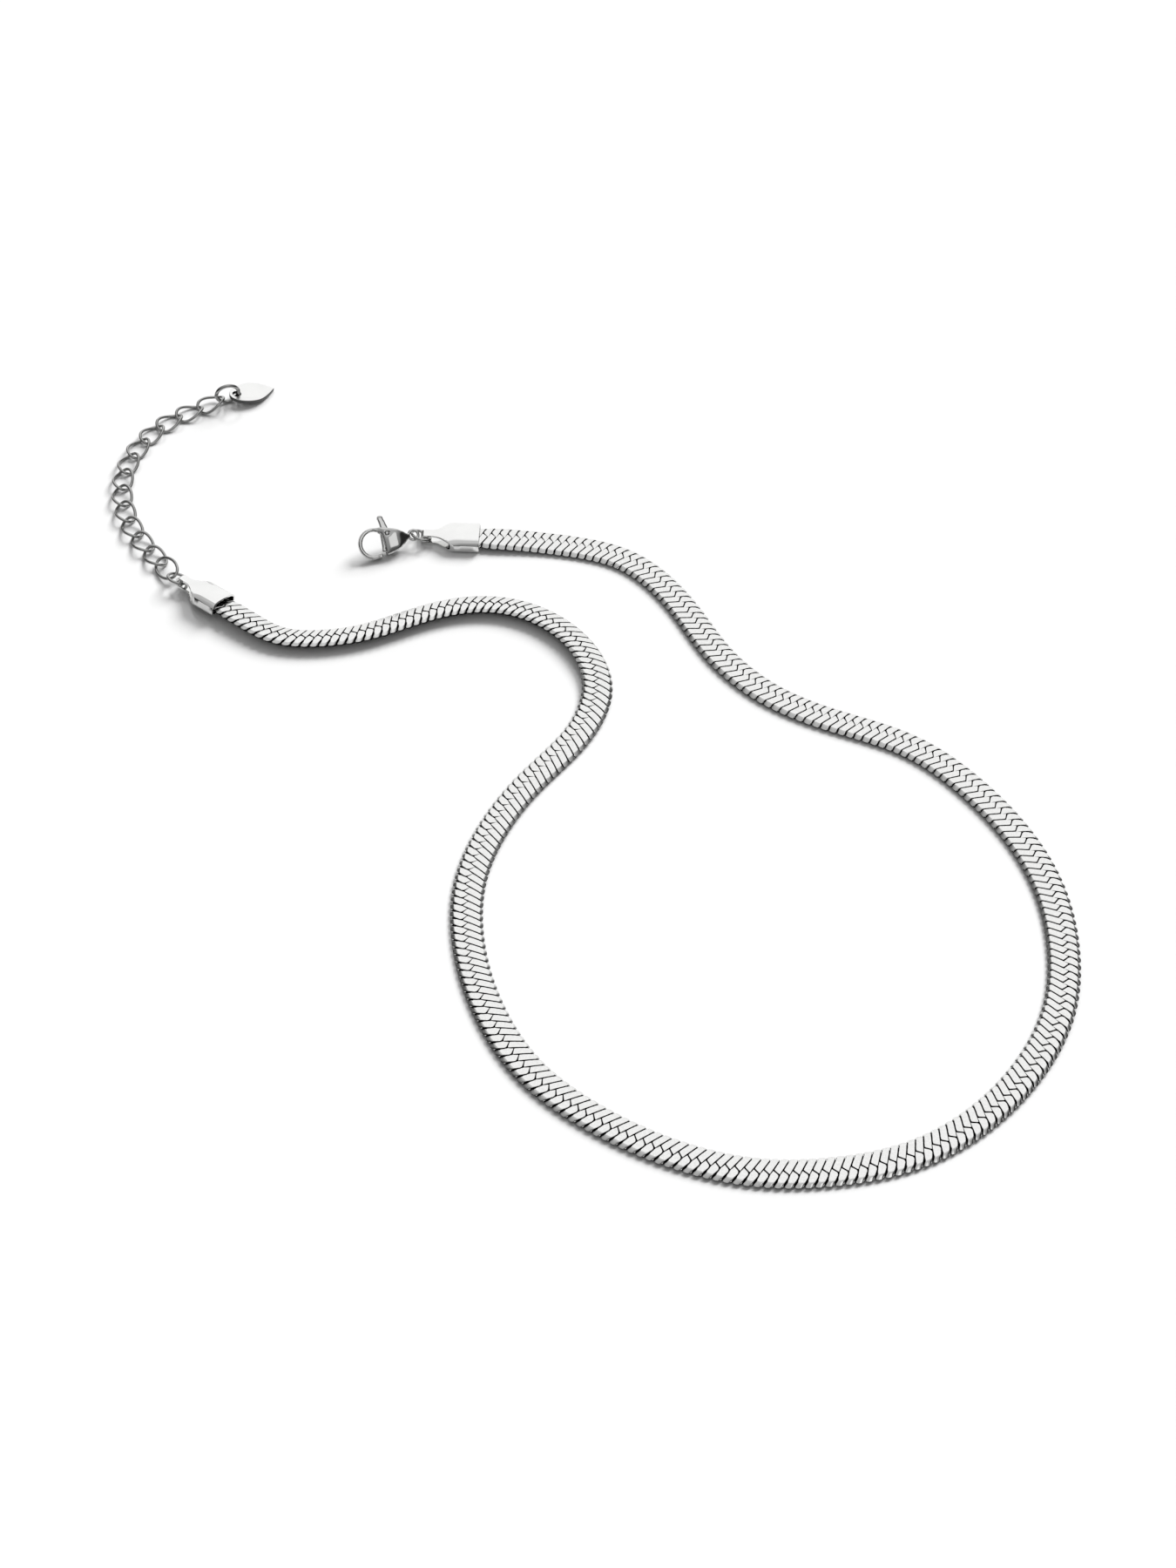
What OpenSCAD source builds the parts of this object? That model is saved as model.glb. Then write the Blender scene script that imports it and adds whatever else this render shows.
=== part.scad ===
// A flat snake chain necklace with a curb extender chain, a leaf tag and a lobster clasp.
// It lies open on a flat surface at z = 0, in one long winding curve.
// All sizes are millimetres.

/* [Snake chain] */
// Number of plates between the two end caps
plates = 290; // [270:1:310]
// Width of the flat chain
band_w = 4.9; // [4.5:0.05:4.95]
// Thickness of the flat chain
band_t = 1.1; // [0.8:0.05:1.2]
// Depth of the grooves between its plates
groove_d = 0.12; // [0.05:0.01:0.2]
// Twist of the first stretch, which lifts its near edge (degrees)
twist = 14; // [0:1:16]

/* [End caps] */
// Length of an end cap, from its mouth to its folded tip
cap_l = 9.3; // [9.1:0.1:9.6]
// Width of an end cap at its mouth
cap_w = 5.2; // [5.1:0.05:5.6]
// Height of an end cap at the middle of its mouth
cap_h = 2.3; // [2.2:0.05:2.6]
// Thickness of the sheet that an end cap is folded from
cap_wall = 0.3; // [0.2:0.05:0.35]
// Width of the folded tongue at the tip
tongue_w = 1.4; // [1.0:0.1:1.6]

/* [Rings and links] */
// Outer diameter of the two small jump rings
ring_d = 3.5; // [3.4:0.1:3.7]
// Wire diameter of the small rings and of the links
link_wire = 0.48; // [0.4:0.02:0.5]
// Outer length of a curb link
link_l = 5.0; // [4.9:0.05:5.1]
// Outer width of a curb link
link_w = 3.5; // [3.3:0.1:3.7]
// Outer diameter of the ring that carries the tag
tag_ring_d = 4.3; // [4.2:0.1:4.5]
// Wire diameter of the ring that carries the tag
tag_ring_wire = 0.6; // [0.5:0.05:0.65]

/* [Tag] */
// Length of the leaf-shaped tag
tag_l = 7.6; // [7.0:0.1:8.0]
// Width of the tag
tag_w = 4.6; // [4.0:0.1:5.0]
// Thickness of the tag
tag_t = 0.6; // [0.5:0.05:0.7]

/* [Clasp] */
// Outer diameter of the clasp's loop
loop_d = 4.9; // [4.7:0.1:5.0]
// Width of the curved claw
claw_w = 0.6; // [0.5:0.05:0.65]
// Thickness of the clasp's body
clasp_t = 2.1; // [1.9:0.1:2.3]
// Thickness of the lever
lever_t = 0.8; // [0.6:0.05:0.85]
// Opening of the lever shown in this model (degrees)
lever_deg = 0; // [0:1:25]
// Diameter of the lever's pivot pin
pin_d = 0.5; // [0.4:0.05:0.55]

/* [Hidden] */
// Number of curb links in the extender, which the route below is drawn for
links = 12;
two_digits = function (i) i < 10 ? str("0", i) : str(i);
LINKS = [for (i = [1:links]) str("extender_link_", two_digits(i))];
STEEL = "gainsboro";
DARK_STEEL = "silver";
$fn = 48;

// Route of the flat chain's middle line, from the mouth of the extender's cap to the
// mouth of the clasp's cap. The points are about 11 mm apart.
CHAIN_ROUTE = [
  [-52.5, 27.5], [-47, 23.5], [-41.5, 21], [-30.5, 22], [-20, 27], [-9, 28],
  [0.5, 22], [5, 12], [2, 1.5], [-5, -7.5], [-10.5, -17.5], [-13.5, -28],
  [-13, -39.5], [-10, -50], [-4.5, -60], [4, -67.5], [13.5, -73], [24.5, -76.5],
  [35.5, -76.5], [46.5, -74], [56, -68], [63.5, -59.5], [68.5, -49.5], [70, -38.5],
  [69, -27.5], [65, -17], [58.5, -7.5], [50.5, 0], [40, 4.5], [30.5, 10],
  [23, 18.5], [18, 28.5], [11, 37.5], [3, 41], [-5.5, 42.5], [-13.5, 43]
];
// Route of the extender's middle line, through the first and the last curb link
LINK_ROUTE = [[-64, 39], [-68.5, 46], [-70.8, 55.5], [-68.7, 64.5], [-64, 70.7], [-58, 74.4]];
ROUTE_STEPS = 24;

// A smooth curve that passes within a hair of the route's points: a cubic B-spline
// whose control points are pulled out by a sixth of the bend at each point.
function bend(q, i) = i == 0 || i == len(q) - 1 ? [0, 0] : q[i - 1] - 2 * q[i] + q[i + 1];
function controls(q) = [for (i = [0:len(q) - 1]) q[i] - bend(q, i) / 6];
function with_ends(c) = let (n = len(c) - 1) concat([2 * c[0] - c[1]], c, [2 * c[n] - c[n - 1]]);
function weights(t) = let (a = t * t, b = a * t)
  [1 - 3 * t + 3 * a - b, 4 - 6 * a + 3 * b, 1 + 3 * t + 3 * a - 3 * b, b] / 6;
function span_point(c, i, t) = let (w = weights(t))
  w[0] * c[i] + w[1] * c[i + 1] + w[2] * c[i + 2] + w[3] * c[i + 3];
function curve(q) = let (c = with_ends(controls(q)))
  concat([for (i = [0:len(q) - 2], k = [0:ROUTE_STEPS - 1]) span_point(c, i, k / ROUTE_STEPS)],
    [span_point(c, len(q) - 2, 1)]);
function lengths(p) = [for (i = 0, s = 0; i < len(p);
  s = s + (i + 1 < len(p) ? norm(p[i + 1] - p[i]) : 0), i = i + 1) s];
// A track is a pair of lookup tables, distance to x and distance to y, and its length
function track(q) = let (p = curve(q), s = lengths(p))
  [[for (i = [0:len(p) - 1]) [s[i], p[i][0]]], [for (i = [0:len(p) - 1]) [s[i], p[i][1]]], s[len(s) - 1]];
function inside(tr, s) = [lookup(s, tr[0]), lookup(s, tr[1])];
function unit(v) = v / norm(v);
// Beyond its ends a track runs straight on
function along(tr, s) =
  s < 0 ? inside(tr, 0) + s * unit(inside(tr, 0.5) - inside(tr, 0)) :
  s > tr[2] ? inside(tr, tr[2]) + (s - tr[2]) * unit(inside(tr, tr[2]) - inside(tr, tr[2] - 0.5)) :
  inside(tr, s);
function heading(tr, s) = unit(along(tr, s + 0.6) - along(tr, s - 0.6));
function angle_of(v) = atan2(v[1], v[0]);
function ease(x) = let (k = max(0, min(1, x))) k * k * (3 - 2 * k);

CHAIN = track(CHAIN_ROUTE);
CHAIN_L = CHAIN[2];
PITCH = CHAIN_L / plates;
TWIST_FROM = 60;
TWIST_TO = 78;
END_STRETCH = 14;
INSERT_L = 2.5;

// Columns: across, as a share of half the width; height, as a share of the thickness;
// and the way that a groove pulls the point in, across and up
SECTION = [
  [-0.82, 0, 0.5, 0.4], [0.82, 0, -0.5, 0.4],
  [1, 0.42, -1, 0], [0.84, 0.86, -0.7, -0.7], [0.3, 1, 0, -1],
  [-0.3, 1, 0, -1], [-0.84, 0.86, 0.7, -0.7], [-1, 0.42, 1, 0]
];
FLAT_HALF = SECTION[1][0] * band_w / 2;
// The plates lie in two rows that lean apart like the halves of a herringbone.
// Columns: place across as a share of half the width, lean along the chain in plates
LEAN = [[-1, 0.05], [-0.14, 0.5], [0.08, 0], [1, 0.85]];

// Height of the cap's floor below the flat chain that it holds
CAP_DROP = 0.4;
CAP_CORNER = 0.5;
// Half width at which the rolled cap's lower corner would touch the surface
CAP_REACH = 2.85;
// The flat chain is squeezed a little narrower over this length, to go into its caps
PINCH_L = 2.4;
PINCH_HALF = cap_w / 2 - cap_wall - 0.12;

function roll_at(s) = -twist * (1 - ease((s - TWIST_FROM) / (TWIST_TO - TWIST_FROM)));
function rest_rise(r) = FLAT_HALF * abs(sin(r));
// Height that keeps the rolled cap's lower corner just off the surface
function cap_rise(r) = CAP_DROP * cos(r) + (CAP_REACH - CAP_CORNER) * abs(sin(r)) + CAP_CORNER * (1 - cos(r));
function near_end(s) = 1 - ease(min(s, CHAIN_L - s) / END_STRETCH);
function rise_at(s) = let (r = roll_at(s)) rest_rise(r) + (cap_rise(r) - rest_rise(r)) * near_end(s);

function half_at(s) = let (full = band_w / 2, least = min(full, PINCH_HALF))
  least + (full - least) * ease(min(s, CHAIN_L - s) / PINCH_L);

// A point of the flat chain: distance along it, place across it, height in its section
function chain_point(s, v, h) =
  let (p = along(CHAIN, s), d = heading(CHAIN, s), r = roll_at(s))
  let (side = v * cos(r) - h * sin(r), up = v * sin(r) + h * cos(r) + rise_at(s))
  [p[0] - d[1] * side, p[1] + d[0] * side, up];

// One ring of section points, moved in by the groove's depth and leaned by a share
function ring_at(s, depth, leaning) = [for (q = SECTION)
  let (at = s + leaning * PITCH * lookup(q[0], LEAN))
  let (v = q[0] * half_at(at) + q[2] * depth, h = q[1] * band_t + q[3] * depth)
  chain_point(at, v, h)];

// Skin of rings with equal counts of points, closed by a fan at each end
function skin_faces(rings, n) = concat(
  [for (i = [0:rings - 2], j = [0:n - 1]) [i * n + j, (i + 1) * n + j, (i + 1) * n + (j + 1) % n]],
  [for (i = [0:rings - 2], j = [0:n - 1]) [i * n + j, (i + 1) * n + (j + 1) % n, i * n + (j + 1) % n]],
  [for (j = [1:n - 2]) [0, j, j + 1]],
  [for (j = [1:n - 2]) [(rings - 1) * n, (rings - 1) * n + j + 1, (rings - 1) * n + j]]
);

module snake_chain() {
  start_gap = 0.4;
  end_gap = 0.7;
  rings = concat(
    [ring_at(-INSERT_L, groove_d, 0), ring_at(-start_gap, groove_d, 0)],
    [for (k = [0:2 * plates - 1]) ring_at(k * PITCH / 2, k % 2 == 0 ? groove_d : 0, 1)],
    [ring_at(CHAIN_L + end_gap, groove_d, 0), ring_at(CHAIN_L + INSERT_L, groove_d, 0)]
  );
  color(STEEL) polyhedron([for (r = rings, p = r) p], skin_faces(len(rings), len(SECTION)));
}

// End cap, in a frame with its mouth at x = 0 and its folded tip along +x
FOLD_R = 0.87;
TAPER_FROM = 3.6;
TAPER_TO = 7.2;
FOLD_X = cap_l - FOLD_R;

function cap_half(x) = let (k = ease((x - TAPER_FROM) / (TAPER_TO - TAPER_FROM)))
  cap_w / 2 + k * (tongue_w - cap_w) / 2;

module cap_section(in) {
  dome_r = 4.5;
  half = cap_w / 2 - in;
  corner = CAP_CORNER - in;
  intersection() {
    translate([0, cap_h - dome_r]) circle(r = dome_r - in, $fn = 96);
    union() {
      translate([-half, CAP_CORNER]) square([2 * half, cap_h]);
      translate([-half + corner, in]) square([2 * (half - corner), cap_h]);
      for (side = [-1, 1]) translate([side * (half - corner), CAP_CORNER]) circle(r = corner);
    }
  }
}

module cap_profile(in, start) {
  translate([FOLD_X, FOLD_R]) circle(r = FOLD_R - in);
  polygon([
    [start, in], [FOLD_X, in], [FOLD_X, 2 * FOLD_R - in], [TAPER_TO, 2 * FOLD_R - in],
    [TAPER_FROM, cap_h - in], [start, cap_h - in]
  ]);
}

module cap_plan() {
  edge = [for (x = [0:0.4:cap_l]) [x, cap_half(x)]];
  polygon(concat([for (p = edge) p], [[cap_l, tongue_w / 2], [cap_l, -tongue_w / 2]],
    [for (i = [len(edge) - 1:-1:0]) [edge[i][0], -edge[i][1]]]));
}

module along_x(l) rotate([90, 0, 90]) linear_extrude(l) children();
module across_y(w) rotate([90, 0, 0]) linear_extrude(w, center = true) children();

module end_cap() {
  difference() {
    intersection() {
      along_x(cap_l) cap_section(0);
      linear_extrude(cap_h) cap_plan();
      across_y(cap_w + 1) cap_profile(0, 0);
    }
    intersection() {
      translate([-1, 0, 0]) along_x(cap_l + 2) cap_section(cap_wall);
      across_y(cap_w + 1) cap_profile(cap_wall, -1);
    }
  }
}

// Frames of the two caps: the mouth's place, the way to the tip, and the roll
START_DIR = -heading(CHAIN, -1);
END_DIR = heading(CHAIN, CHAIN_L + 1);

module start_cap_place() {
  p = along(CHAIN, 0);
  translate([p[0], p[1], rise_at(0)]) rotate([twist, 0, angle_of(START_DIR)])
    translate([0, 0, -CAP_DROP]) children();
}
module end_cap_place() {
  p = along(CHAIN, CHAIN_L);
  translate([p[0], p[1], rise_at(CHAIN_L)]) rotate([0, 0, angle_of(END_DIR)])
    translate([0, 0, -CAP_DROP]) children();
}

module extender_end_cap() color(STEEL) start_cap_place() end_cap();
module clasp_end_cap() color(STEEL) end_cap_place() end_cap();

// Round ring that lies in the XY plane round the origin
module wire_ring(d, wire) rotate_extrude() translate([(d - wire) / 2, 0]) circle(d = wire, $fn = 32);

// Each small ring runs through the fold of its cap and slopes down towards the cap's far side
SMALL_RING_TILT = [-18, 18, 0];
module extender_ring() color(STEEL)
  translate([-59.95, 33.4, 1.5]) rotate(SMALL_RING_TILT) wire_ring(ring_d, link_wire);
module clasp_ring() color(STEEL)
  translate([-22.65, 43.1, 1.35]) rotate(SMALL_RING_TILT) wire_ring(ring_d, link_wire);

// Link swept along a closed wire line. Seen from above it is an oval, and a curb link's
// sides rise and fall twice round it so that its neighbours pass through it.
LINK_SIDES = 16;
WIRE_SIDES = 6;
CURB_H = 0.45;
OVAL_L = 5.5;
OVAL_W = 3.6;

function link_line(a, b, h, t) = [a * cos(t), b * sin(t), -h * sin(2 * t)];
function link_ring(a, b, h, t) =
  let (p = link_line(a, b, h, t), d = unit(link_line(a, b, h, t + 1) - link_line(a, b, h, t - 1)))
  let (side = unit(cross(d, [0, 0, 1])), up = cross(side, d))
  [for (k = [0:WIRE_SIDES - 1]) let (w = k * 360 / WIRE_SIDES)
    p + link_wire / 2 * (cos(w) * side + sin(w) * up)];

module wire_link(l, w, h) {
  a = (l - link_wire) / 2;
  b = (w - link_wire) / 2;
  rings = [for (i = [0:LINK_SIDES - 1]) link_ring(a, b, h, i * 360 / LINK_SIDES)];
  n = WIRE_SIDES;
  m = LINK_SIDES;
  polyhedron([for (r = rings, p = r) p], concat(
    [for (i = [0:m - 1], j = [0:n - 1]) [i * n + j, i * n + (j + 1) % n, ((i + 1) % m) * n + (j + 1) % n]],
    [for (i = [0:m - 1], j = [0:n - 1]) [i * n + j, ((i + 1) % m) * n + (j + 1) % n, ((i + 1) % m) * n + j]]
  ));
}

LINK_TRACK = track(LINK_ROUTE);
LINK_REST = CURB_H + link_wire / 2;
// The last link climbs towards the tag's ring that holds up its end
LAST_CLIMB = 9;
LAST_RISE = 0.28;

module extender_link(i) {
  s = (i - 1) * LINK_TRACK[2] / (links - 1);
  p = along(LINK_TRACK, s);
  last = i == links;
  color(STEEL) translate([p[0], p[1], LINK_REST + (last ? LAST_RISE : 0)])
    rotate([0, last ? -LAST_CLIMB : 0, angle_of(heading(LINK_TRACK, s))]) wire_link(link_l, link_w, CURB_H);
}

module extender_oval_link() color(STEEL)
  translate([-61.9, 36.05, 1.15]) rotate([-27, 7, 126]) wire_link(OVAL_L, OVAL_W, 0);

// The tag's ring stands on its edge and leans towards the viewer
TAG_RING_LEAN = 8;
TAG_RING_RISE = (tag_ring_d * cos(TAG_RING_LEAN) + tag_ring_wire * (1 - cos(TAG_RING_LEAN))) / 2;
module tag_ring()
  color(DARK_STEEL) translate([-55.3, 75.45, TAG_RING_RISE]) rotate([90 + TAG_RING_LEAN, 0, 17])
    wire_ring(tag_ring_d, tag_ring_wire);

// Leaf tag, in a frame with its hole at the origin and its tip along +x
TAG_HOLE = 1.4;
TAG_BACK = 1.2;
TAG_WIDEST = 2.6;
function tag_half(x) = tag_w / 2 * (x < TAG_WIDEST
  ? sqrt(max(0, 1 - pow((TAG_WIDEST - x) / (TAG_WIDEST + TAG_BACK), 2)))
  : cos(90 * (x - TAG_WIDEST) / (tag_l - TAG_BACK - TAG_WIDEST)));

module leaf_tag() {
  steps = 24;
  xs = [for (i = [0:steps]) -TAG_BACK + tag_l * (1 - cos(180 * i / steps)) / 2];
  color(STEEL) translate([-53.95, 76.15, 0.87]) rotate([0, 7.7, 22]) difference() {
    linear_extrude(tag_t) polygon(concat([for (x = xs) [x, tag_half(x)]],
      [for (i = [steps - 1:-1:1]) [xs[i], -tag_half(xs[i])]]));
    translate([0, 0, -1]) cylinder(d = TAG_HOLE, h = tag_t + 2);
  }
}

// Clasp, in a frame with its eye at the origin, its loop along +x and its thumb tab along +y
LOOP_X = 6.5;
LOOP_R = loop_d / 2;
EYE_R = 0.775;
PIVOT = [4.2, 1.2];
PIN_GAP = 0.03;
LEVER_GAP = 0.1;
CLASP_PLACE = [-23.8, 42.6, 1.95];
CLASP_TURN = [134, -1.6, 199.5];

module clasp_place() translate(CLASP_PLACE) rotate(CLASP_TURN) children();

module clasp_outline() {
  translate([LOOP_X, 0]) circle(r = LOOP_R, $fn = 96);
  polygon([
    [0.8, 0.35], [1.5, 0.95], [2.5, 1.55], [3.5, 1.95], [4.5, 2.2], [6, LOOP_R - 0.05],
    [6, 0.05 - LOOP_R], [4.5, -2.2], [3.5, -1.95], [2.5, -1.55], [1.5, -0.95], [0.8, -0.35]
  ]);
}

module clasp_side() {
  t = clasp_t / 2;
  polygon([
    [0.7, 0.25], [1.2, 0.45], [1.9, 0.8 * t], [2.7, t], [4.3, t], [5.2, 0.7], [6.5, 0.55], [9, 0.5],
    [9, -0.5], [6.5, -0.55], [5.2, -0.7], [4.3, -t], [2.7, -t], [1.9, -0.8 * t], [1.2, -0.45], [0.7, -0.25]
  ]);
}

// Rounded cross-section: a superellipse with the exponent 3
module clasp_section() {
  steps = 40;
  function corner(c) = sign(c) * pow(abs(c), 2 / 3);
  polygon([for (i = [0:steps - 1]) let (w = (i + 0.5) * 360 / steps)
    [(LOOP_R + 0.02) * corner(cos(w)), (clasp_t / 2 + 0.01) * corner(sin(w))]]);
}

// Open middle of the loop, and its mouth between the claw's tip and the body
module clasp_opening() {
  intersection() {
    translate([LOOP_X, 0]) circle(r = LOOP_R - claw_w, $fn = 96);
    polygon([[5.1, 2], [9, 2], [9, -2], [4.75, -2]]);
  }
  polygon([[4.85, -1.2], [5.6, -1.2], [5.45, -3], [4.65, -3]]);
}

module clasp_slot() polygon([
  [3.35, 3], [3.35, 0.4], [4.05, -3], [5.2, -3], [5.5, 1.2], [5.4, 1.9], [5.15, 3]
]);

module clasp_body() color(STEEL) clasp_place() {
  difference() {
    union() {
      intersection() {
        linear_extrude(clasp_t + 1, center = true) clasp_outline();
        across_y(loop_d + 1) clasp_side();
        along_x(LOOP_X + LOOP_R + 1) clasp_section();
      }
      rotate_extrude() translate([EYE_R, 0]) circle(r = link_wire / 2, $fn = 16);
    }
    linear_extrude(clasp_t + 2, center = true) clasp_opening();
    linear_extrude(lever_t + 2 * LEVER_GAP, center = true) clasp_slot();
    translate([PIVOT[0], PIVOT[1], -clasp_t]) cylinder(d = pin_d + 2 * PIN_GAP, h = 2 * clasp_t);
  }
}

// Blade, hub and thumb tab of the lever in one outline
module lever_plan() {
  union() {
    translate(PIVOT) circle(r = 0.62);
    polygon([
      [3.62, 1], [4.1, 0], [4.68, -1.66], [5.12, -1.64], [5.43, -1.46], [5.3, -0.9], [5.2, 1.3], [4.92, 2],
      [4.95, 2.4], [5.15, 3.6], [4.25, 3.7], [3.7, 1.6]
    ]);
    translate([4.7, 3.65]) circle(r = 0.45);
  }
}

module clasp_lever() color(DARK_STEEL) clasp_place()
  translate([PIVOT[0], PIVOT[1], 0]) rotate([0, 0, lever_deg]) translate([-PIVOT[0], -PIVOT[1], 0])
    difference() {
      linear_extrude(lever_t, center = true) lever_plan();
      translate([PIVOT[0], PIVOT[1], -1]) cylinder(d = pin_d + 2 * PIN_GAP, h = 2);
    }

module lever_pin() color(DARK_STEEL) clasp_place()
  translate([PIVOT[0], PIVOT[1], -clasp_t / 2 + 0.05]) cylinder(d = pin_d, h = clasp_t - 0.1);

snake_chain();
extender_end_cap();
clasp_end_cap();
extender_ring();
extender_oval_link();
for (i = [1:links]) extender_link(i);
tag_ring();
leaf_tag();
clasp_ring();
clasp_body();
clasp_lever();
lever_pin();
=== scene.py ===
import math

import bmesh
import bpy
import numpy as np
from mathutils import Matrix, Vector


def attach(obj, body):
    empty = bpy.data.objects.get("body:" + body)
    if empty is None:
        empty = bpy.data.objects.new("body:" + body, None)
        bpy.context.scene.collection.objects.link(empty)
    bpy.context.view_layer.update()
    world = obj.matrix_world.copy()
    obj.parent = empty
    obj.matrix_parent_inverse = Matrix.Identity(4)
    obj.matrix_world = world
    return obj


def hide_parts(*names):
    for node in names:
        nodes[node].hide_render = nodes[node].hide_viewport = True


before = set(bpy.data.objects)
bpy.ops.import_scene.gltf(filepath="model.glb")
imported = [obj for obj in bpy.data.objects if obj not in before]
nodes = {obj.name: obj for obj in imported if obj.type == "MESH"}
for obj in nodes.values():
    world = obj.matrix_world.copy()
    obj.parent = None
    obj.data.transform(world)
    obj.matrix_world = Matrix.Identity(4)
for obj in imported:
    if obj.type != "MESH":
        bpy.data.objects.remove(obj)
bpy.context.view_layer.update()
mm = 0.001


# Camera: fitted to the even pitch of the plates on the flat surface
cameraSettings = {"place": (0.0035, -0.3205, 0.3536), "lookDown": 48.5, "lens": 74.0, "sensor": 36.0,
                  "clip": (0.01, 20)}


def addCamera(settings):
    data = bpy.data.cameras.new("camera")
    data.lens = settings["lens"]
    data.sensor_width = settings["sensor"]
    data.clip_start, data.clip_end = settings["clip"]
    camera = bpy.data.objects.new("camera", data)
    camera.location = settings["place"]
    camera.rotation_euler = (math.radians(90 - settings["lookDown"]), 0, 0)
    bpy.context.scene.collection.objects.link(camera)
    bpy.context.scene.camera = camera


addCamera(cameraSettings)
bpy.context.scene.view_settings.view_transform = "Standard"
bpy.context.scene.view_settings.look = "None"
print("camera set")


# Materials
def linear(hexColour):
    parts = [int(hexColour[i:i + 2], 16) / 255 for i in (1, 3, 5)]
    return [c / 12.92 if c <= 0.04045 else ((c + 0.055) / 1.055) ** 2.4 for c in parts] + [1.0]


def addNode(tree, kind, settings=None, links=None):
    node = tree.nodes.new(kind)
    for key, value in (settings or {}).items():
        if isinstance(key, int) or key in node.inputs:
            node.inputs[key].default_value = value
        else:
            setattr(node, key, value)
    for key, source in (links or {}).items():
        tree.links.new(source, node.inputs[key])
    return node


def newMaterial(name):
    material = bpy.data.materials.new(name)
    material.use_nodes = True
    material.node_tree.nodes.clear()
    return material, material.node_tree


# Stainless steel: the colour drifts with faint stains, and a shallow grain breaks the reflections and lets
# the roughness drift. Stain, grain and depth are in millimetres. The grain that polishing or tumbling leaves
# is some hundredths of a millimetre wide, so it is drawn as coarse as it needs to show
def steelMaterial(name, finish):
    material, tree = newMaterial(name)
    where = addNode(tree, "ShaderNodeTexCoord").outputs["Object"]
    grain = addNode(tree, "ShaderNodeTexNoise",
                    {"Scale": 1 / (finish["grain"] * mm), "Detail": 3.0, "Roughness": 0.6}, {"Vector": where})
    stain = addNode(tree, "ShaderNodeTexNoise", {"Scale": 1 / (finish["stain"] * mm), "Detail": 2.0},
                    {"Vector": where})
    tint = addNode(tree, "ShaderNodeMix",
                   {"data_type": "RGBA", 6: linear(finish["colour"]), 7: linear(finish["darker"])},
                   {0: stain.outputs["Fac"]})
    smoothest, roughest = finish["roughness"]
    rough = addNode(tree, "ShaderNodeMapRange",
                    {"From Min": 0.3, "From Max": 0.7, "To Min": smoothest, "To Max": roughest},
                    {"Value": grain.outputs["Fac"]})
    bump = addNode(tree, "ShaderNodeBump", {"Strength": 1.0, "Distance": finish["depth"] * mm},
                   {"Height": grain.outputs["Fac"]})
    shader = addNode(tree, "ShaderNodeBsdfPrincipled", {"Metallic": 1.0},
                     {"Base Color": tint.outputs[2], "Roughness": rough.outputs[0],
                      "Normal": bump.outputs[0]})
    addNode(tree, "ShaderNodeOutputMaterial", None, {"Surface": shader.outputs[0]})
    return material


# Plates stamped from strip and tumbled bright: nearly white, with a soft gloss that varies inside each plate
plateSteel = steelMaterial("stainlessSteelTumbledPlates", {
    "colour": "#F0F0EF", "darker": "#DADAD9", "roughness": (0.13, 0.21), "grain": 0.12, "depth": 0.002,
    "stain": 0.35})
# Painted shade deep in the seams: the same steel coloured almost black, as thin matt lines, to stand in for
# the shade down there
seamPaintedShade = steelMaterial("steelInSeamsPaintedShade", {
    "colour": "#1C1C1D", "darker": "#0C0C0D", "roughness": (0.45, 0.65), "grain": 0.1, "depth": 0.003,
    "stain": 3.0})
# Thin sheet, folded and then polished: wide clear reflections that barely ripple
capSteel = steelMaterial("stainlessSteelFoldedSheetPolished", {
    "colour": "#F1F1F0", "darker": "#E4E4E3", "roughness": (0.07, 0.13), "grain": 0.2, "depth": 0.0006,
    "stain": 3.0})
# Drawn and polished wire, coloured greyer than the plates as painted shade for the darker surroundings it
# mirrors: one thin bright line beside a dark one along each link
wireSteelPaintedShade = steelMaterial("stainlessSteelDrawnWirePaintedShade", {
    "colour": "#B4B4B3", "darker": "#A2A2A1", "roughness": (0.13, 0.19), "grain": 0.1, "depth": 0.0008,
    "stain": 3.0})
# Stamped sheet with a satin face: an even pale sheen in which nothing is mirrored sharply
tagSteel = steelMaterial("stainlessSteelStampedSatin", {
    "colour": "#F4F4F3", "darker": "#E8E8E7", "roughness": (0.29, 0.39), "grain": 0.06, "depth": 0.0015,
    "stain": 3.0})
# The sheared edge of that sheet, only tumbled, and coloured dark as painted shade for the shadow it mirrors:
# a dull dark rim round the tag
tagEdgePaintedShade = steelMaterial("stainlessSteelShearedEdgePaintedShade", {
    "colour": "#6E6E6E", "darker": "#565656", "roughness": (0.34, 0.46), "grain": 0.08, "depth": 0.002,
    "stain": 3.0})
# Cast and polished to a mirror: the studio's bright and dark parts stand side by side on it. Its colour is
# greyer than the cap's as painted shade for the darker surroundings it mirrors
claspSteelPaintedShade = steelMaterial("stainlessSteelCastMirrorPolishedPaintedShade", {
    "colour": "#D2D2D1", "darker": "#C2C2C1", "roughness": (0.07, 0.11), "grain": 0.3, "depth": 0.0006,
    "stain": 3.0})
print("materials made")


# The routes, in millimetres, as the source has them
chainRoute = [
    (-52.5, 27.5), (-47, 23.5), (-41.5, 21), (-30.5, 22), (-20, 27), (-9, 28),
    (0.5, 22), (5, 12), (2, 1.5), (-5, -7.5), (-10.5, -17.5), (-13.5, -28),
    (-13, -39.5), (-10, -50), (-4.5, -60), (4, -67.5), (13.5, -73), (24.5, -76.5),
    (35.5, -76.5), (46.5, -74), (56, -68), (63.5, -59.5), (68.5, -49.5), (70, -38.5),
    (69, -27.5), (65, -17), (58.5, -7.5), (50.5, 0), (40, 4.5), (30.5, 10),
    (23, 18.5), (18, 28.5), (11, 37.5), (3, 41), (-5.5, 42.5), (-13.5, 43)]
linkRoute = [(-64, 39), (-68.5, 46), (-70.8, 55.5), (-68.7, 64.5), (-64, 70.7), (-58, 74.4)]
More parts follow.
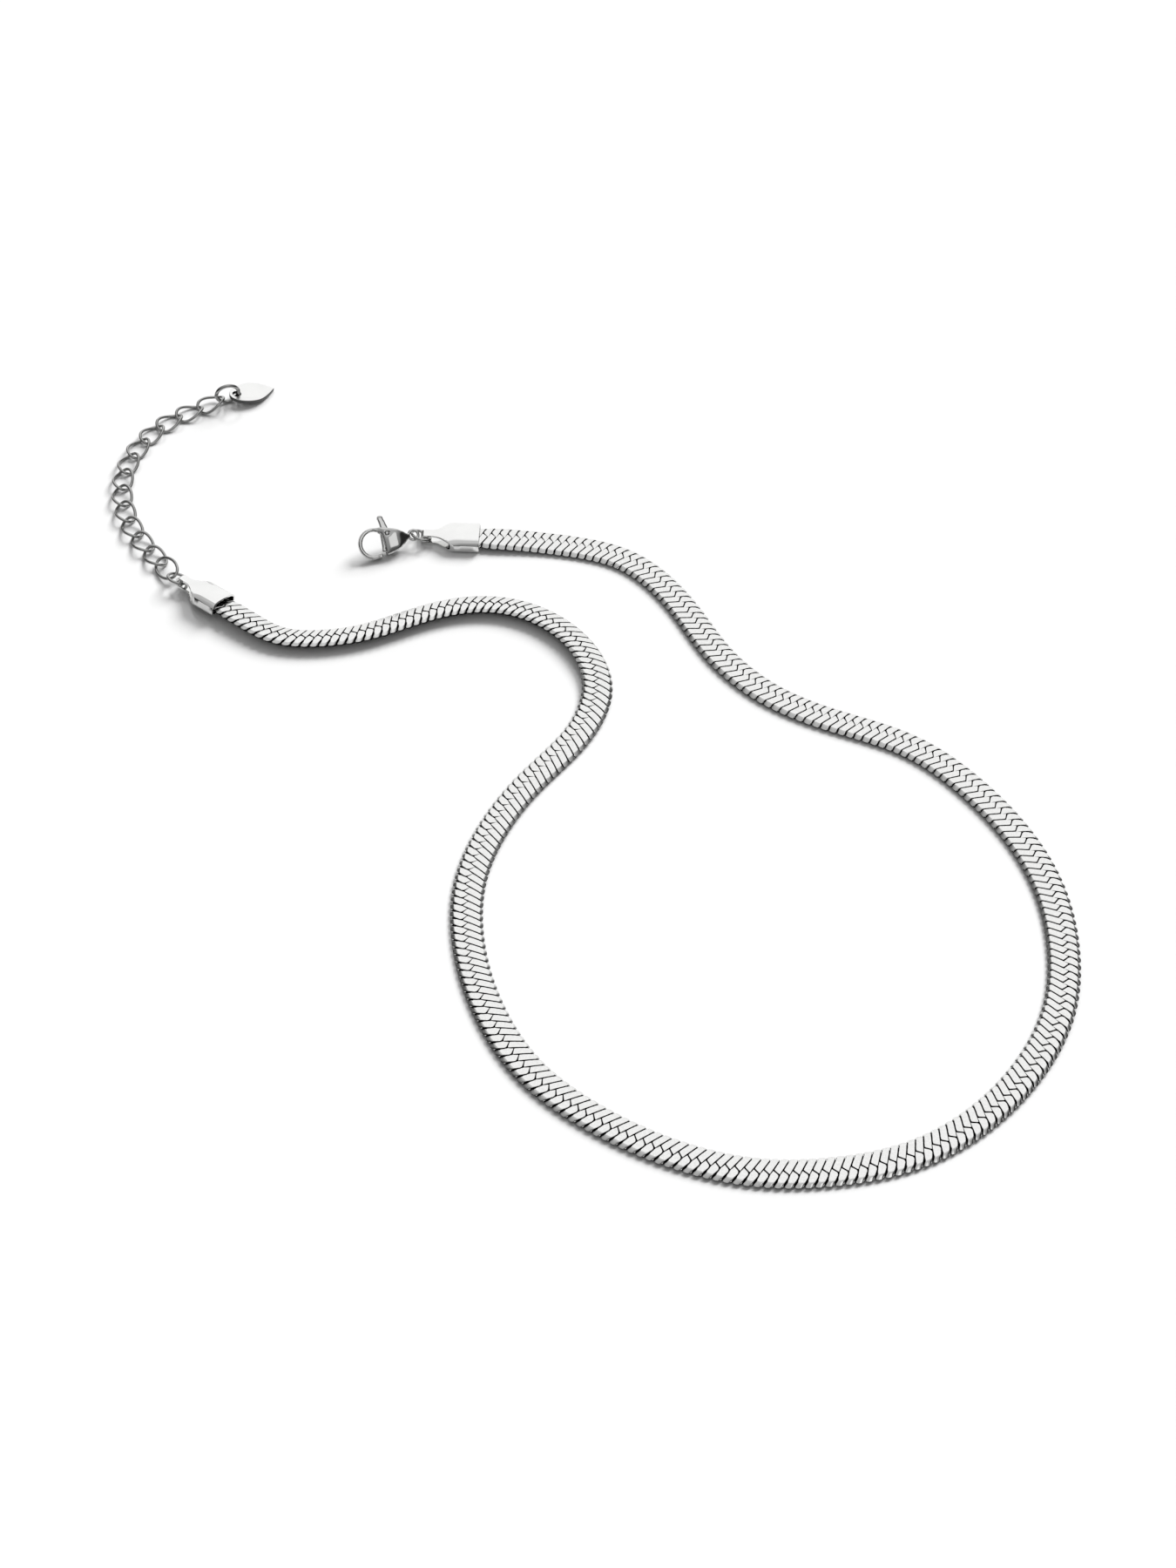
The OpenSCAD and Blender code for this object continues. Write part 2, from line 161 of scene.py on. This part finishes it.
routeSteps = 24  # short straight steps between two points of a route
headingReach = 0.6  # a heading is taken from this far behind to this far ahead
endReach = 0.5  # past its ends a route goes straight on, as its last stretch of this length points


# Cubic B-spline through the route's points: control points are pulled out by a sixth of the bend
class Track:
    def __init__(self, points):
        q = np.array(points, float)
        bend = np.zeros_like(q)
        bend[1:-1] = q[:-2] - 2 * q[1:-1] + q[2:]
        c = q - bend / 6
        c = np.vstack([2 * c[0] - c[1], c, 2 * c[-1] - c[-2]])
        t = np.arange(routeSteps)[:, None] / routeSteps
        weights = [(1 - t) ** 3, 3 * t ** 3 - 6 * t ** 2 + 4, -3 * t ** 3 + 3 * t ** 2 + 3 * t + 1, t ** 3]
        spans = [sum(w * c[i + j] for j, w in enumerate(weights)) / 6 for i in range(len(q) - 1)]
        last = (c[-3] + 4 * c[-2] + c[-1]) / 6
        self.points = np.vstack(spans + [last])
        steps = np.linalg.norm(np.diff(self.points, axis=0), axis=1)
        self.distance = np.concatenate([[0], np.cumsum(steps)])
        self.length = self.distance[-1]

    def inside(self, s):
        return np.stack([np.interp(s, self.distance, self.points[:, i]) for i in (0, 1)], -1)

    def along(self, s):
        s = np.asarray(s, float)
        start, end = self.inside(0.0), self.inside(self.length)
        first = self.inside(endReach) - start
        last = end - self.inside(self.length - endReach)
        before, after = np.minimum(s, 0)[..., None], np.maximum(s - self.length, 0)[..., None]
        middle = self.inside(np.clip(s, 0, self.length))
        return middle + before * first / np.linalg.norm(first) + after * last / np.linalg.norm(last)

    def heading(self, s):
        d = self.along(s + headingReach) - self.along(s - headingReach)
        return d / np.linalg.norm(d, axis=-1, keepdims=True)


def ease(x):
    k = np.clip(x, 0, 1)
    return k * k * (3 - 2 * k)


chainTrack = Track(chainRoute)
linkTrack = Track(linkRoute)


# Flat snake chain: rows of lobes that lean apart like a herringbone. The lobes' outlines are in plates along
# the chain and in millimetres across it, the angles are in degrees, and all else is in millimetres or shares
chain = {
    "plates": 290, "halfWidth": 2.45, "thickness": 1.1, "crown": 0.06, "twist": 14.0,
    "twistFrom": 60.0, "twistTo": 78.0, "endStretch": 14.0, "flatShare": 0.82,
    "capDrop": 0.4, "capReach": 2.85, "capCorner": 0.5, "pinchLength": 2.4, "pinchShare": 0.11,
    "leftLobe": [
        (0.5, -0.42), (0.64, -0.5), (0.88, 0.08), (1.09, 0.6), (1.46, 1.4), (1.61, 1.85), (1.65, 2.1),
        (1.55, 2.27), (1.25, 2.36), (0.9, 2.34), (0.74, 2.13), (0.69, 1.85), (0.53, 1.4), (0.21, 0.6),
        (0.075, 0.22), (0.1, 0.09)],
    "rightLobe": [
        (-0.06, 0.17), (-0.355, -0.53), (-0.44, -1.0), (-0.57, -1.42), (-0.735, -1.85), (-0.87, -2.12),
        (-0.84, -2.28), (-0.62, -2.36), (-0.38, -2.36), (-0.055, -2.15), (0.095, -1.85), (0.31, -1.42),
        (0.46, -1.0), (0.49, -0.75), (0.452, -0.51), (0.06, 0.08)],
    # The lobe's outer end: its middle and lean, and how far each ring from foot to flat is drawn in along it
    "endMiddles": (1.15, -0.5), "leans": (0.16, 0.5), "endAt": 2.36, "edgeFrom": 1.5, "endNarrow": 0.15,
    "footHigh": 0.05, "shoulders": (0.28, 0.8), "rimInset": 0.04, "rimDrop": 0.02, "flatInset": 0.08,
    "footPull": 0.15, "lowPull": 0.2, "wallPull": 0.02, "rimPull": 0.36, "flatPull": 0.62,
    "wallDrop": 0.16, "rimEndDrop": 0.16, "tipDip": 0.4, "tipFrom": -0.35,
    # Faces with the bright finish: the outer end, those that look up more than this slope, and the foot. All
    # other faces, the sides down in the seams, take the painted shade
    "endSide": 0.72, "topSlope": 0.35, "footBand": 0.15,
    # The core under the lobes, a sheet with painted shade that darkens what shows through the seams, and how
    # many plates and how much core go into the first and last cap
    "coreHalf": 1.75, "coreHigh": 0.36, "coreFace": 0.54, "platesInCaps": (2, 1), "coreInCap": 2.0,
    "creaseDegrees": 62}


# Height that keeps the lower corner of a rolled cap just off the surface
def capRise(roll, settings):
    return (settings["capDrop"] * np.cos(roll) + settings["capCorner"] * (1 - np.cos(roll))
            + (settings["capReach"] - settings["capCorner"]) * np.abs(np.sin(roll)))


# Lays points of the straight band onto the route, with its twist, its rise and its squeeze at the caps
def chainPoints(s, v, h, settings):
    untwisted = ease((s - settings["twistFrom"]) / (settings["twistTo"] - settings["twistFrom"]))
    roll = -math.radians(settings["twist"]) * (1 - untwisted)
    fromEnd = np.minimum(s, chainTrack.length - s)
    rest = settings["flatShare"] * settings["halfWidth"] * np.abs(np.sin(roll))
    nearEnd = 1 - ease(fromEnd / settings["endStretch"])
    rise = rest + (capRise(roll, settings) - rest) * nearEnd
    v = v * (1 - settings["pinchShare"] * (1 - ease(fromEnd / settings["pinchLength"])))
    side = v * np.cos(roll) - h * np.sin(roll)
    up = v * np.sin(roll) + h * np.cos(roll) + rise
    p, d = chainTrack.along(s), chainTrack.heading(s)
    return np.stack([p[:, 0] - d[:, 1] * side, p[:, 1] + d[:, 0] * side, up], -1) * mm


# One lobe: its outline is extruded, and its top and foot are inset, which rounds its outer end
def lobeMesh(outline, right, settings):
    bm = bmesh.new()
    pitch = chainTrack.length / settings["plates"]
    low, high = settings["shoulders"]
    middle, lean = settings["endMiddles"][right], settings["leans"][right]
    foot = bm.faces.new([bm.verts.new((u * pitch, v, low)) for u, v in outline])
    raised = bmesh.ops.extrude_face_region(bm, geom=[foot])["geom"]
    top = [g for g in raised if isinstance(g, bmesh.types.BMFace)]
    bmesh.ops.translate(bm, vec=(0, 0, high - low), verts=top[0].verts)
    bmesh.ops.recalc_face_normals(bm, faces=bm.faces)

    def drawIn(verts, pull, height, drop=0.0):
        for vert in verts:
            side = math.copysign(1, vert.co.y)
            share = (abs(vert.co.y) - settings["edgeFrom"]) / (settings["endAt"] - settings["edgeFrom"])
            share = max(0, min(1, share))
            across = middle + lean * (vert.co.y - side * settings["endAt"])
            vert.co.x -= (vert.co.x - across * pitch) * settings["endNarrow"] * pull * share
            vert.co.x -= side * pull * share * lean * pitch
            vert.co.y -= side * pull * share
            vert.co.z = height - drop * share - settings["crown"] * abs(vert.co.y)
            if right and vert.co.y > settings["tipFrom"] and height > low:  # dips under the left lobes
                vert.co.z -= settings["tipDip"] * (vert.co.y - settings["tipFrom"])

    crownFall = settings["crown"] * settings["halfWidth"]  # given back, so that the foot stays off the table
    drawIn(top[0].verts, settings["wallPull"], high, settings["wallDrop"])
    bmesh.ops.inset_region(bm, faces=top, thickness=settings["rimInset"])
    rimHigh = settings["thickness"] - settings["rimDrop"]
    drawIn(top[0].verts, settings["rimPull"], rimHigh, settings["rimEndDrop"])
    bmesh.ops.inset_region(bm, faces=top, thickness=settings["flatInset"])
    drawIn(top[0].verts, settings["flatPull"], settings["thickness"])
    drawIn(foot.verts, settings["lowPull"], low + crownFall)
    bmesh.ops.inset_region(bm, faces=[foot], thickness=settings["rimInset"])
    drawIn(foot.verts, settings["footPull"], settings["footHigh"] + crownFall)
    bm.normal_update()
    outward = Vector((lean * pitch, 1, 0)).normalized() * (-1 if right else 1)
    # Faces on the sides down in the seams get the painted shade (material 1)
    for f in bm.faces:
        centre = f.calc_center_median()
        atEnd = f.normal.dot(outward) > settings["endSide"] and centre.z > low
        bright = atEnd or f.normal.z > settings["topSlope"] or centre.z < settings["footBand"]
        f.material_index = 0 if bright else 1
    mesh = bpy.data.meshes.new("lobe")
    bm.to_mesh(mesh)
    bm.free()
    return mesh


def buildChain(settings):
    pitch = chainTrack.length / settings["plates"]
    lobes = [lobeMesh(settings["leftLobe"], False, settings), lobeMesh(settings["rightLobe"], True, settings)]
    bm = bmesh.new()
    offsets = []
    first, last = settings["platesInCaps"]
    for k in range(-first, settings["plates"] + last):
        for lobe in lobes:
            bm.from_mesh(lobe)
            offsets += [k * pitch] * len(lobe.vertices)
    lobeFaces = len(bm.faces)
    core = bmesh.ops.create_grid(bm, x_segments=2 * settings["plates"], y_segments=1, size=0.5)["verts"]
    bm.faces.ensure_lookup_table()
    coreFaces = bm.faces[lobeFaces:]
    reach = settings["coreInCap"]
    length = chainTrack.length + 2 * reach
    for v in core:
        v.co = ((v.co.x + 0.5) * length - reach, v.co.y * 2 * settings["coreHalf"], settings["coreFace"])
    # The core takes the painted shade
    for f in coreFaces:
        f.material_index = 1
    bmesh.ops.recalc_face_normals(bm, faces=coreFaces)
    bmesh.ops.solidify(bm, geom=coreFaces, thickness=settings["coreHigh"])
    offsets += [0.0] * (len(bm.verts) - len(offsets))
    mesh = bpy.data.meshes.new("snakeChainPlates")
    bm.to_mesh(mesh)
    bm.free()
    co = np.zeros(len(mesh.vertices) * 3)
    mesh.vertices.foreach_get("co", co)
    co = co.reshape(-1, 3)
    placed = chainPoints(co[:, 0] + np.array(offsets), co[:, 1], co[:, 2], settings)
    mesh.vertices.foreach_set("co", placed.ravel())
    mesh.update()
    for lobe in lobes:
        bpy.data.meshes.remove(lobe)
    return mesh


def addPiece(name, mesh, materials, replaced, body="necklace"):
    piece = bpy.data.objects.new(name, mesh)
    bpy.context.scene.collection.objects.link(piece)
    for material in materials:
        mesh.materials.append(material)
    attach(piece, body)
    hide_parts(replaced)
    return piece


def keepCreases(piece, degrees):
    bm = bmesh.new()
    bm.from_mesh(piece.data)
    for e in bm.edges:
        e.smooth = e.calc_face_angle(math.pi) < math.radians(degrees)
    for f in bm.faces:
        f.smooth = True
    bm.to_mesh(piece.data)
    bm.free()


# Large flat faces stay flat to the eye, and only the narrow ones at their edges turn the light
def shadeFlats(piece):
    flats = piece.modifiers.new("flatFaces", "WEIGHTED_NORMAL")
    flats.keep_sharp = True


snakeChain = addPiece("snakeChainPlates", buildChain(chain), [plateSteel, seamPaintedShade], "snake_chain")
keepCreases(snakeChain, chain["creaseDegrees"])
shadeFlats(snakeChain)
print("snake chain made:", len(snakeChain.data.polygons), "faces")


def turned(x, y, z):
    return (Matrix.Rotation(math.radians(z), 4, "Z") @ Matrix.Rotation(math.radians(y), 4, "Y")
            @ Matrix.Rotation(math.radians(x), 4, "X"))


def headingDegrees(direction):
    return math.degrees(math.atan2(direction[1], direction[0]))


# Takes a piece's mesh from millimetres on its own axes to its place in the necklace
def finishMesh(bm, name, place):
    bmesh.ops.transform(bm, matrix=Matrix.Scale(mm, 4) @ place, verts=bm.verts)
    for f in bm.faces:
        f.smooth = True
    mesh = bpy.data.meshes.new(name)
    bm.to_mesh(mesh)
    bm.free()
    return mesh


# Rings and links: a wire circle spun round, then drawn out to an oval whose sides rise and fall
def addWireLoop(name, node, place, size, wire, curb=0.0, around=12, steps=48):
    bm = bmesh.new()
    radius = 1.0
    turn = Matrix.Translation((radius, 0, 0)) @ Matrix.Rotation(math.pi / 2, 4, "X")
    bmesh.ops.create_circle(bm, segments=around, radius=wire / 2, matrix=turn)
    bmesh.ops.spin(bm, geom=bm.verts[:] + bm.edges[:], cent=(0, 0, 0), axis=(0, 0, 1), angle=2 * math.pi,
                   steps=steps, use_merge=True)
    bmesh.ops.remove_doubles(bm, verts=bm.verts, dist=1e-6)
    a, b = (size[0] - wire) / 2, (size[1] - wire) / 2
    near = 0.02  # the wire's heading is taken from this far behind to this far ahead, in radians

    def line(t):
        return Vector((a * math.cos(t), b * math.sin(t), -curb * math.sin(2 * t)))

    for v in bm.verts:
        t = math.atan2(v.co.y, v.co.x)
        out, up = math.hypot(v.co.x, v.co.y) - radius, v.co.z
        d = (line(t + near) - line(t - near)).normalized()
        side = d.cross(Vector((0, 0, 1))).normalized()
        v.co = line(t) + side * out + side.cross(d) * up
    bmesh.ops.recalc_face_normals(bm, faces=bm.faces)
    # The wire's greyed colour is painted shade
    addPiece(name, finishMesh(bm, name, place), [wireSteelPaintedShade], node)


# Extender: the last link climbs onto the tag's ring, and the oval link leans on the cap's ring
extender = {"count": 12, "size": (5.0, 3.5), "wire": 0.48, "curb": 0.45, "lastClimb": 9.0, "lastRise": 0.28,
            "ovalSize": (5.5, 3.6), "ovalPlace": (-61.9, 36.05, 1.15), "ovalTurn": (-27, 7, 126)}


def addLinks(settings):
    rest = settings["curb"] + settings["wire"] / 2
    for i in range(settings["count"]):
        s = np.array([i * linkTrack.length / (settings["count"] - 1)])
        x, y = linkTrack.along(s)[0]
        last = i == settings["count"] - 1
        climb, rise = (settings["lastClimb"], settings["lastRise"]) if last else (0, 0)
        place = (Matrix.Translation((x, y, rest + rise))
                 @ turned(0, -climb, headingDegrees(linkTrack.heading(s)[0])))
        addWireLoop(f"extenderLink{i + 1:02d}", f"extender_link_{i + 1:02d}", place, settings["size"],
                    settings["wire"], settings["curb"])
    place = Matrix.Translation(settings["ovalPlace"]) @ turned(*settings["ovalTurn"])
    addWireLoop("extenderOvalLink", "extender_oval_link", place, settings["ovalSize"], settings["wire"])


addLinks(extender)
print("links made")


# A copy of a solid to work on, in millimetres on the piece's own axes: its loose triangles are merged, and
# those that lie flat with each other become one face
mergeDistance = 1e-4


def mergedCopy(node, place, flatDegrees):
    bm = bmesh.new()
    bm.from_mesh(nodes[node].data)
    bmesh.ops.transform(bm, matrix=(Matrix.Scale(mm, 4) @ place).inverted(), verts=bm.verts)
    bmesh.ops.remove_doubles(bm, verts=bm.verts, dist=mergeDistance)
    bmesh.ops.dissolve_limit(bm, angle_limit=math.radians(flatDegrees), verts=bm.verts, edges=bm.edges,
                             use_dissolve_boundaries=False, delimit=set())
    return bm


def cutAcross(bm, axis, at):
    bmesh.ops.bisect_plane(bm, geom=bm.verts[:] + bm.edges[:] + bm.faces[:], dist=mergeDistance,
                           plane_co=Vector(axis) * at, plane_no=axis)


def roundEdges(bm, radius, sharpDegrees):
    sharp = [e for e in bm.edges if e.calc_face_angle(0) > math.radians(sharpDegrees)]
    bmesh.ops.bevel(bm, geom=sharp, offset=radius, offset_type="OFFSET", segments=2, profile=0.5,
                    affect="EDGES", material=-1, clamp_overlap=True)


# Caps: the solid's flat-cut shoulders flow into the tongue, and its dome is flatter with tighter sides
caps = {"half": 2.6, "high": 2.3, "tongueHigh": 1.74, "taperFrom": 3.6, "taperTo": 7.2, "domeRadius": 4.5,
        "flowFrom": 2.6, "sidePower": 5.0, "cutStep": 0.45, "mouthCuts": (0.12, 0.9, 1.75), "skinFrom": 0.5,
        "skinFull": 1.0, "flatDegrees": 1.0, "sharpDegrees": 40, "edge": 0.07}


# The cap's own axes: x runs from its mouth to its fold. The first cap is rolled with the chain's twist
def capPlace(atStart):
    s = np.array([0.0 if atStart else chainTrack.length])
    outward = -1 if atStart else 1
    x, y = chainTrack.along(s)[0]
    roll = chain["twist"] if atStart else 0.0
    rise = float(capRise(math.radians(roll), chain))
    return (Matrix.Translation((x, y, rise))
            @ turned(roll, 0, headingDegrees(chainTrack.heading(s + outward)[0] * outward))
            @ Matrix.Translation((0, 0, -chain["capDrop"])))


# Heights of the top over one point of the cap: as the solid has it, and as the polished sheet flows
def capTops(x, y, settings):
    radius, half = settings["domeRadius"], settings["half"]
    y = min(abs(y), half)
    sag = radius - math.sqrt(radius ** 2 - y * y)
    sideSag = radius - math.sqrt(radius ** 2 - half ** 2)
    drop = settings["high"] - settings["tongueHigh"]
    taper = (x - settings["taperFrom"]) / (settings["taperTo"] - settings["taperFrom"])
    solid = min(settings["high"] - sag, settings["high"] - drop * min(1, max(0, taper)))
    flow = float(ease((x - settings["flowFrom"]) / (settings["taperTo"] - settings["flowFrom"])))
    smooth = settings["high"] - drop * flow - sideSag * (y / half) ** settings["sidePower"] * (1 - flow)
    return solid, smooth


def addCap(node, name, atStart, settings):
    place = capPlace(atStart)
    bm = mergedCopy(node, place, settings["flatDegrees"])
    step = settings["cutStep"]
    flowCuts = int((settings["taperTo"] - settings["flowFrom"]) / step)
    for i in range(flowCuts + 1):
        cutAcross(bm, (1, 0, 0), settings["flowFrom"] + i * step)
    for at in settings["mouthCuts"]:
        cutAcross(bm, (1, 0, 0), at)
    sideCuts = int(settings["half"] / step)
    for i in range(-sideCuts, sideCuts + 1):
        cutAcross(bm, (0, 1, 0), i * step)
    for v in bm.verts:
        solid, smooth = capTops(v.co.x, v.co.y, settings)
        share = (v.co.z - settings["skinFrom"]) / (settings["skinFull"] - settings["skinFrom"])
        if v.co.x < settings["taperTo"]:
            v.co.z += (smooth - solid) * max(0, min(1, share))
    bm.normal_update()
    roundEdges(bm, settings["edge"], settings["sharpDegrees"])
    shadeFlats(addPiece(name, finishMesh(bm, name, place), [capSteel], node))


addCap("extender_end_cap", "extenderEndCap", True, caps)
addCap("clasp_end_cap", "claspEndCap", False, caps)
print("caps made")


# Clasp: each cast piece is cut into a fine net and smoothed, so its corners melt like polished metal. The
# body is smoothed longer from its eye to the lever, but not its loop, which is thin and would shrink
clasp = {"place": (-23.8, 42.6, 1.95), "turn": (134, -1.6, 199.5), "flatDegrees": 1.0, "rounds": 3,
         "bodyNet": ((-1, 9), (-2.5, 2.5), (-1.1, 1.1)), "bodyStep": 0.25, "bodyRounds": 10, "bodyTo": 4.6,
         "leverNet": ((3.5, 5.5), (-1.7, 4.2), (-0.4, 0.4)), "leverStep": 0.2}


def addCast(node, name, body, net, step, settings, moreRounds=0):
    place = Matrix.Translation(settings["place"]) @ turned(*settings["turn"])
    bm = mergedCopy(node, place, settings["flatDegrees"])
    for axis, (low, high) in zip(((1, 0, 0), (0, 1, 0), (0, 0, 1)), net):
        for i in range(1, int((high - low) / step)):
            cutAcross(bm, axis, low + i * step)
    for i in range(settings["rounds"] + moreRounds):
        moved = [v for v in bm.verts if i < settings["rounds"] or v.co.x < settings["bodyTo"]]
        bmesh.ops.smooth_vert(bm, verts=moved, factor=0.5, use_axis_x=True, use_axis_y=True, use_axis_z=True)
    addPiece(name, finishMesh(bm, name, place), [claspSteelPaintedShade], node, body)


addCast("clasp_body", "claspBody", "necklace", clasp["bodyNet"], clasp["bodyStep"], clasp,
        clasp["bodyRounds"])
addCast("clasp_lever", "claspLever", "lever", clasp["leverNet"], clasp["leverStep"], clasp)
print("clasp made")


# Tag and pin: their edges are rounded, and the tag's cut side takes a dark rim of painted shade
tag = {"node": "leaf_tag", "edge": 0.09, "flatDegrees": 1.5, "sharpDegrees": 32, "sideSlope": 0.6,
       "materials": [tagSteel, tagEdgePaintedShade], "slot": "tag_steel"}
pin = {"node": "lever_pin", "edge": 0.04, "flatDegrees": 1.5, "sharpDegrees": 32, "sideSlope": 0.0,
       "materials": [claspSteelPaintedShade], "slot": "clasp_steel"}


def addRounded(name, settings):
    bm = mergedCopy(settings["node"], Matrix.Identity(4), settings["flatDegrees"])
    bm.normal_update()
    # Faces on the sides take the second material: for the tag, its dark rim of painted shade
    for f in bm.faces:
        f.material_index = 1 if abs(f.normal.z) < settings["sideSlope"] else 0
    roundEdges(bm, settings["edge"], settings["sharpDegrees"])
    mesh = finishMesh(bm, name, Matrix.Identity(4))
    shadeFlats(addPiece(name, mesh, settings["materials"], settings["node"]))


addRounded("leafTag", tag)
addRounded("leverPin", pin)
print("tag and pin made")


# Rings: round wire, turned as the solids are
rings = {
    "extenderRing": {"node": "extender_ring", "across": 3.5, "wire": 0.48, "place": (-59.95, 33.4, 1.5),
                     "turn": (-18, 18, 0)},
    "claspRing": {"node": "clasp_ring", "across": 3.5, "wire": 0.48, "place": (-22.65, 43.1, 1.35),
                  "turn": (-18, 18, 0)},
    "tagRing": {"node": "tag_ring", "across": 4.3, "wire": 0.6, "place": (-55.3, 75.45, 2.1321),
                "turn": (98, 0, 17)}}
for name, ring in rings.items():
    place = Matrix.Translation(ring["place"]) @ turned(*ring["turn"])
    addWireLoop(name, ring["node"], place, (ring["across"], ring["across"]), ring["wire"], steps=64)
print("rings made")


# Floor and light: a pale glossy table and a soft studio, bright behind and darker towards the viewer. Its
# radiance goes by height, from level to straight up. A panel is its direction, its reach and its brightness
studio = {
    "floorHalf": 12.0, "floorColour": "#CECECE", "floorRoughness": 0.25, "floorIor": 1.6,
    "coatRoughness": 0.15,
    "sunStrength": 5.35, "sunHeight": 38.0, "sunWidth": 30.0, "sunSide": 38.0,
    "byHeight": [(0.0, 0.06), (0.3, 0.1), (0.5, 0.2), (0.7, 0.46), (0.85, 0.58), (1.0, 0.64)],
    "panels": [((0.1, 0.85, 0.45), (0.6, 1.3, 0.7), 1.1), ((0.41, -0.62, 0.67), (0.2, 0.22, 0.17), 1.1),
               ((0.92, -0.25, 0.26), (0.5, 0.5, 0.27), 0.03), ((-0.92, -0.25, 0.26), (0.5, 0.5, 0.27), 0.03)],
    "panelEdge": (0.9, 1.12)}


def addFloor(settings):
    bm = bmesh.new()
    bmesh.ops.create_grid(bm, x_segments=1, y_segments=1, size=settings["floorHalf"])
    mesh = bpy.data.meshes.new("floor")
    bm.to_mesh(mesh)
    bm.free()
    floor = bpy.data.objects.new("floor", mesh)
    bpy.context.scene.collection.objects.link(floor)
    # White lacquered board under a clear coat: even and pale, with faint soft mirror images of the metal
    material, tree = newMaterial("boardWhiteLacqueredUnderClearCoat")
    shader = addNode(tree, "ShaderNodeBsdfPrincipled",
                     {"Base Color": linear(settings["floorColour"]), "Roughness": settings["floorRoughness"],
                      "IOR": settings["floorIor"], "Coat Weight": 1.0, "Coat IOR": settings["floorIor"],
                      "Coat Roughness": settings["coatRoughness"]})
    addNode(tree, "ShaderNodeOutputMaterial", None, {"Surface": shader.outputs[0]})
    mesh.materials.append(material)


def setRamp(node, stops):
    ramp = node.color_ramp
    for i, (at, value) in enumerate(stops):
        element = ramp.elements[i] if i < 2 else ramp.elements.new(at)
        element.position, element.color = at, (value, value, value, 1)


def addStudio(settings):
    world = bpy.data.worlds.new("studio")
    bpy.context.scene.world = world
    world.use_nodes = True
    tree = world.node_tree
    tree.nodes.clear()
    where = addNode(tree, "ShaderNodeTexCoord").outputs["Generated"]
    parts = addNode(tree, "ShaderNodeSeparateXYZ", None, {0: where})
    byHeight = addNode(tree, "ShaderNodeValToRGB", None, {0: parts.outputs["Z"]})
    setRamp(byHeight, settings["byHeight"])
    glow = byHeight.outputs[0]
    inner, outer = settings["panelEdge"]
    for middle, reach, brightness in settings["panels"]:
        away = addNode(tree, "ShaderNodeVectorMath", {"operation": "SUBTRACT", 1: middle}, {0: where})
        scaled = addNode(tree, "ShaderNodeVectorMath", {"operation": "DIVIDE", 1: reach},
                         {0: away.outputs[0]})
        distance = addNode(tree, "ShaderNodeVectorMath", {"operation": "LENGTH"}, {0: scaled.outputs[0]})
        share = addNode(tree, "ShaderNodeMapRange", {"From Min": outer, "From Max": inner},
                        {"Value": distance.outputs["Value"]})
        lit = addNode(tree, "ShaderNodeMix",
                      {"data_type": "RGBA", 7: (brightness, brightness, brightness, 1)},
                      {0: share.outputs[0], 6: glow})
        glow = lit.outputs[2]
    background = addNode(tree, "ShaderNodeBackground", {"Strength": 1.0}, {"Color": glow})
    addNode(tree, "ShaderNodeOutputWorld", None, {"Surface": background.outputs[0]})
    light = bpy.data.lights.new("windowBehind", "SUN")
    light.energy = settings["sunStrength"]
    light.angle = math.radians(settings["sunWidth"])
    sun = bpy.data.objects.new("windowBehind", light)
    sun.rotation_euler = (-math.radians(90 - settings["sunHeight"]), 0, -math.radians(settings["sunSide"]))
    sun.visible_glossy = False  # its glare would wash out the seams where the band tilts towards it
    bpy.context.scene.collection.objects.link(sun)


addFloor(studio)
addStudio(studio)
print("floor and light set")
